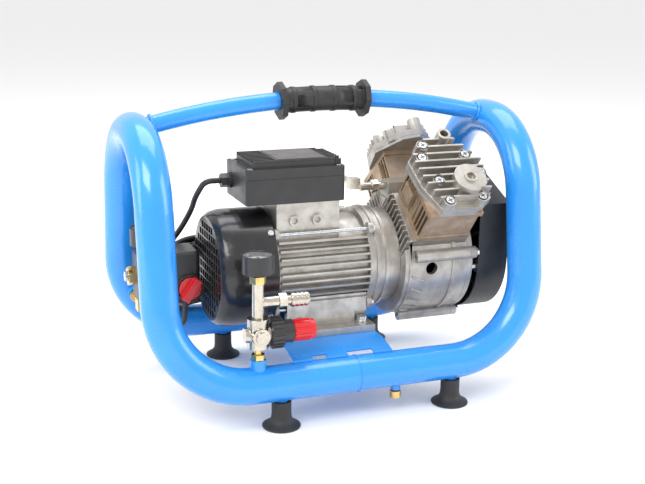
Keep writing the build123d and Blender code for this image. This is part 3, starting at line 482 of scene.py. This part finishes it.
@dataclass
class Motor(SubAssembly):
    """The flange motor with its fan cover and terminal box."""

    skins: dict[str, tuple[str, float]] = field(default_factory=lambda: {
        "motor_housing": ("fin_casting", 0.0005), "rear_end_shield": ("casting", 0.0005),
        "front_flange": ("casting", 0.0007), "tie_rods": ("zinc", 0.0003), "motor_bolts": ("zinc", 0.0004),
        "stator_core": ("ground_steel", 0.0), "stator_windings": ("winding_copper", 0.0),
        "rotor_core": ("ground_steel", 0.0), "shaft_bearings": ("zinc", 0.0003),
        "fan_cover": ("cover_black", 0.0006), "motor_fan": ("moulded_black", 0.0),
        "terminal_box": ("moulded_black", 0.0006), "terminal_box_lid": ("moulded_black", 0.0005),
        "small_screws": ("zinc", 0.0002), "run_capacitor": ("dial_white", 0.0004),
        "cable_glands": ("moulded_black", 0.0003), "motor_lead": ("cord_jacket", 0.0),
    })

    panel_size: tuple[float, float, float] = (0.071, 0.077, 0.0008)
    panel_middle: tuple[float, float, float] = (-0.0435, 0.0, 0.3472)
    panel_edge: float = 0.2 * MM

    def add_details(self) -> None:
        """Makes the blank rating panel on the terminal box's lid."""
        mesh = bmesh.new()
        add_box(mesh, self.panel_size, Matrix.Translation(self.panel_middle))
        soften(piece("rating_panel", mesh, "panel_grey"), self.panel_edge)


@dataclass
class Pump(SubAssembly):
    """The V-twin pump with its fan and pipe."""

    skins: dict[str, tuple[str, float]] = field(default_factory=lambda: {
        "crankcase": ("casting", 0.0007), "crankcase_cover": ("casting", 0.0007),
        "crankshaft": ("ground_steel", 0.0003), "front_piston": ("casting", 0.0),
        "rear_piston": ("casting", 0.0), "front_cylinder": ("tan_casting", 0.0005),
        "rear_cylinder": ("tan_casting", 0.0005), "valve_plates": ("casting", 0.0004),
        "front_head": ("casting", 0.0007), "rear_head": ("casting", 0.0007),
        "pump_screws": ("zinc", 0.0004), "pump_fan": ("moulded_black", 0.0),
        "fan_shroud": ("shroud_black", 0.0008), "air_pipe": ("nickel_plate", 0.0),
        "pipe_fittings": ("turned_brass", 0.0004),
    })
    bank_angle: float = 40.0
    bank_x: tuple[float, float] = (0.150, 0.161)
    axis_z: float = 0.1885
    screw_top: float = 0.177
    case_radius: float = 0.0885
    rib_x: float = 0.120
    rib_count: int = 5
    rib_first: float = 12.0
    rib_step: float = 13.0
    rib_slant: float = 24.0
    rib_size: tuple[float, float, float] = (0.024, 0.0045, 0.0022)
    rib_edge: float = 0.7 * MM
    # size and turns of the dark slabs of painted shade in the screws' cross recesses
    recess_shade_size: tuple[float, float, float] = (0.0074, 0.0013, 0.0005)
    recess_shade_turns: tuple[float, float] = (20.0, 110.0)
    screws: tuple[tuple[float, float], ...] = (
        (-0.030, 0.038), (0.038, 0.040), (0.038, -0.036), (-0.014, -0.040),
        (-0.022, 0.060), (0.051, 0.008), (-0.018, -0.004))

    def add_details(self) -> None:
        """Makes the painted shade of the head screws' cross recesses, and the crankcase's slanted ribs."""
        self.add_recess_shade()
        self.add_ribs()

    def add_recess_shade(self) -> None:
        """Makes dark slabs of painted shade where the cross recesses of the head screws of both banks are;
        no recess is cut.
        """
        mesh = bmesh.new()
        for side, x in zip((1, -1), self.bank_x):
            lean = Matrix.Translation((x, 0, self.axis_z)) @ Matrix.Rotation(
                math.radians(side * self.bank_angle), 4, "X")
            for across, along in self.screws:
                place = lean @ Matrix.Translation((across, side * along, self.screw_top))
                for turn in self.recess_shade_turns:
                    turned = place @ Matrix.Rotation(math.radians(turn), 4, "Z")
                    add_box(mesh, self.recess_shade_size, turned)
        # satin black slabs on the zinc heads are painted shade for the hollow recesses, not a black part
        piece("screw_recess_shade", mesh, "satin_black_metal")

    def add_ribs(self) -> None:
        """Makes the slanted ribs on the front of the crankcase."""
        mesh = bmesh.new()
        for i in range(self.rib_count):
            round_axis = Matrix.Translation((self.rib_x, 0, self.axis_z)) @ Matrix.Rotation(
                math.radians(self.rib_first + self.rib_step * i), 4, "X")
            slanted = Matrix.Rotation(math.radians(self.rib_slant), 4, "Y")
            add_box(mesh, self.rib_size,
                    round_axis @ Matrix.Translation((0, -self.case_radius, 0)) @ slanted)
        soften(piece("crankcase_ribs", mesh, "casting"), self.rib_edge)


@dataclass
class Controls(SubAssembly):
    """The pressure switch, the gauges, the regulator and the quick coupling."""

    skins: dict[str, tuple[str, float]] = field(default_factory=lambda: {
        "switch_base": ("moulded_black", 0.0006), "switch_cover": ("moulded_black", 0.0008),
        "switch_knob": ("signal_red", 0.0008), "safety_cap": ("zinc", 0.0003),
        "outlet_tee": ("nickel_plate", 0.0006),
        "gauge_cases": ("satin_black_metal", 0.0006), "gauge_dials": ("dial_white", 0.0),
        "gauge_lenses": ("gauge_lens", 0.0006), "front_gauge_needle": ("dial_ink", 0.0),
        "tank_gauge_needle": ("dial_ink", 0.0), "regulator_body": ("nickel_plate", 0.0006),
        "regulator_bonnet": ("moulded_black", 0.0004), "regulator_spindle": ("turned_brass", 0.0),
        "regulator_knob": ("signal_red", 0.0004), "coupling_body": ("nickel_plate", 0.0004),
        "coupling_sleeve": ("nickel_plate", 0.0004),
    })
    dials: tuple[tuple[float, float, float], ...] = ((-0.142, -0.147, 0.235), (-0.253, 0.030, 0.238))
    ticks: int = 28
    tick_radius: float = 17.8 * MM
    long_tick: tuple[float, float, float] = (0.0034, 0.0006, 0.0003)
    short_tick: tuple[float, float, float] = (0.0018, 0.0003, 0.0003)

    def add_details(self) -> None:
        """Makes the tick marks of both dials."""
        mesh = bmesh.new()
        for dial in self.dials:
            for i in range(self.ticks):
                turn = Matrix.Rotation(math.radians(225 - 270 * i / (self.ticks - 1)), 4, "Z")
                size = self.short_tick if i % 3 else self.long_tick
                add_box(mesh, size, Matrix.Translation(dial) @ turn
                        @ Matrix.Translation((self.tick_radius - size[0] / 2, 0, 0)))
        piece("dial_ticks", mesh, "dial_ink")


# ---------------------------------------------------------------------- mains cord
@dataclass
class MainsCord:
    """The mains cord: out of its gland, once round in a tied coil, then to the plug."""

    radius: float = 3.75 * MM
    coil_radius: float = 52 * MM
    bundle: float = 7.75 * MM
    centre: tuple[float, float, float] = (-0.160, 0.122, 0.152)
    lean: float = 19.0
    turns: float = 5.07
    points_per_turn: int = 16
    enters_at: float = 99.0
    tied_at: float = 305.0
    tie_pitch: float = 1.44 * MM
    tie_thickness: float = 0.9 * MM
    corner_allowance: float = 0.985
    lead_out: tuple[tuple[float, float, float], ...] = (
        (-0.196, 0.034, 0.126), (-0.196, 0.034, 0.100), (-0.204, 0.058, 0.086),
        (-0.206, 0.088, 0.084), (-0.192, 0.116, 0.090))
    tail: tuple[tuple[float, float, float], ...] = (
        (-0.138, 0.139, 0.0997), (-0.108, 0.137, 0.0967), (-0.082, 0.117, 0.1047),
        (-0.056, 0.101, 0.1107), (-0.026, 0.101, 0.1107))

    def on_coil(self, angle: float, out: float, side: float) -> Vector:
        """A point on the coil.

        Args:
            angle: degrees round the coil, 90 at its foot.
            out: distance from the middle of the turns, away from the centre.
            side: distance from the middle of the turns, along the coil's axis.

        Returns:
            The point.
        """
        lean, turn = math.radians(self.lean), math.radians(angle)
        down = Vector((0, math.sin(lean), -math.cos(lean)))
        axis = Vector((0, math.cos(lean), math.sin(lean)))
        spoke = Vector((1, 0, 0)) * math.cos(turn) + down * math.sin(turn)
        return Vector(self.centre) + spoke * (self.coil_radius + out) + axis * side

    def coil_points(self) -> list[Vector]:
        """The turns, each in its own place in a round bundle."""
        steps = round(self.turns * self.points_per_turn)
        made = []
        for i in range(steps + 1):
            done = i / self.points_per_turn
            place = math.radians(-60 - 60 * done)
            made.append(self.on_coil(self.enters_at - 360 * done, self.bundle * math.cos(place),
                                     self.bundle * math.sin(place)))
        return made

    def add_tie(self) -> None:
        """Makes the three turns of the tie round the bundle."""
        mesh = bmesh.new()
        middle = self.on_coil(self.tied_at, 0, 0)
        ahead = self.on_coil(self.tied_at + 1, 0, 0) - self.on_coil(self.tied_at - 1, 0, 0)
        for step in (-1, 0, 1):
            add_ring(mesh, self.bundle + self.radius + 0.6 * MM, self.tie_thickness,
                     facing(middle + ahead.normalized() * step * self.tie_pitch, ahead))
        piece("cord_tie", mesh, "moulded_black")

    def build(self) -> None:
        points = [Vector(p) for p in self.lead_out] + self.coil_points() + [Vector(p) for p in self.tail]
        curve = bpy.data.curves.new("mains_cord_line", "CURVE")
        curve.dimensions = "3D"
        curve.bevel_depth = self.radius
        curve.bevel_resolution = 5
        curve.resolution_u = 4
        curve.use_fill_caps = True
        spline = curve.splines.new("NURBS")
        spline.points.add(len(points) - 1)
        for point, place in zip(spline.points, points):
            point.co = (*place, 1)
        spline.order_u = 3
        spline.use_endpoint_u = True
        cord = bpy.data.objects.new("mains_cord_line", curve)
        bpy.context.scene.collection.objects.link(cord)
        finish(cord, "cord_jacket")
        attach(cord, "frame")
        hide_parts("mains_cord", "mains_cord_coil")
        self.add_tie()
        plug = dressed("mains_plug", "moulded_black", 0.0012)


# -------------------------------------------------------------------------- studio
@dataclass
class Studio:
    """Camera, floor and soft lights."""

    azimuth: float = -20.79
    elevation: float = 14.52
    roll: float = 0.71
    lens: float = 61.4
    location: tuple[float, float, float] = (-0.5524, -1.4639, 0.6190)

    def add_camera(self) -> None:
        """Places the camera."""
        az, el, roll = (math.radians(a) for a in (self.azimuth, self.elevation, self.roll))
        back = Vector((math.sin(az) * math.cos(el), -math.cos(az) * math.cos(el), math.sin(el)))
        right = Vector((math.cos(az), math.sin(az), 0))
        up = back.cross(right)
        across = right * math.cos(roll) + up * math.sin(roll)
        upright = up * math.cos(roll) - right * math.sin(roll)
        camera = bpy.data.objects.new("camera", bpy.data.cameras.new("camera"))
        bpy.context.scene.collection.objects.link(camera)
        camera.data.lens = self.lens
        camera.data.sensor_width = 36.0
        camera.data.clip_start, camera.data.clip_end = 0.02, 50.0
        turn = Matrix((across, upright, back)).transposed()
        camera.matrix_world = Matrix.Translation(self.location) @ turn.to_4x4()
        bpy.context.scene.camera = camera

    def add_floor(self) -> None:
        """Makes the pale floor."""
        mesh = bmesh.new()
        bmesh.ops.create_grid(mesh, x_segments=1, y_segments=1, size=15.0)
        data = bpy.data.meshes.new("floor")
        mesh.to_mesh(data)
        mesh.free()
        floor = bpy.data.objects.new("floor", data)
        bpy.context.scene.collection.objects.link(floor)
        material = bpy.data.materials.new("floor_white")
        material.use_nodes = True
        shader = material.node_tree.nodes["Principled BSDF"]
        shader.inputs["Base Color"].default_value = (0.90, 0.90, 0.90, 1)
        shader.inputs["Roughness"].default_value = 0.9
        shader.inputs["Specular IOR Level"].default_value = 0.1
        data.materials.append(material)

    def add_light(self, name: str, place: tuple[float, float, float], size: tuple[float, float],
                  power: float) -> None:
        """Adds one soft box aimed at the middle of the object.

        Args:
            name: the light's name.
            place: where it stands.
            size: its width and height.
            power: its power in watts.
        """
        data = bpy.data.lights.new(name, "AREA")
        data.shape = "RECTANGLE"
        data.size, data.size_y = size
        data.energy = power
        light = bpy.data.objects.new(name, data)
        bpy.context.scene.collection.objects.link(light)
        middle = (CAD_BOX[0] + CAD_BOX[1]) / 2
        light.location = place
        light.rotation_euler = (middle - Vector(place)).to_track_quat("-Z", "Y").to_euler()

    def build(self) -> None:
        """Sets up the whole studio."""
        self.add_camera()
        self.add_floor()
        self.add_light("key_box", (-1.6, -1.4, 2.2), (1.6, 1.2), 46)
        self.add_light("right_box", (2.2, -1.2, 1.2), (1.2, 1.8), 26)
        self.add_light("top_box", (0.2, 0.6, 2.6), (2.4, 1.6), 40)
        self.add_light("left_box", (-2.4, 0.2, 0.9), (0.8, 1.6), 14)
        world = bpy.data.worlds.new("studio_air")
        world.use_nodes = True
        world.node_tree.nodes["Background"].inputs["Color"].default_value = (1, 1, 1, 1)
        world.node_tree.nodes["Background"].inputs["Strength"].default_value = 0.95
        bpy.context.scene.world = world
        bpy.context.scene.view_settings.view_transform = "Standard"
        log.info("studio built")


def main() -> None:
    """Builds the studio and every sub-assembly."""
    logging.basicConfig(level=logging.INFO, format="%(name)s: %(message)s")
    Studio().build()
    MainsCord().build()
    for part in (Cage(), Motor(), Pump(), Controls()):
        part.build()


if __name__ == "__main__":
    main()
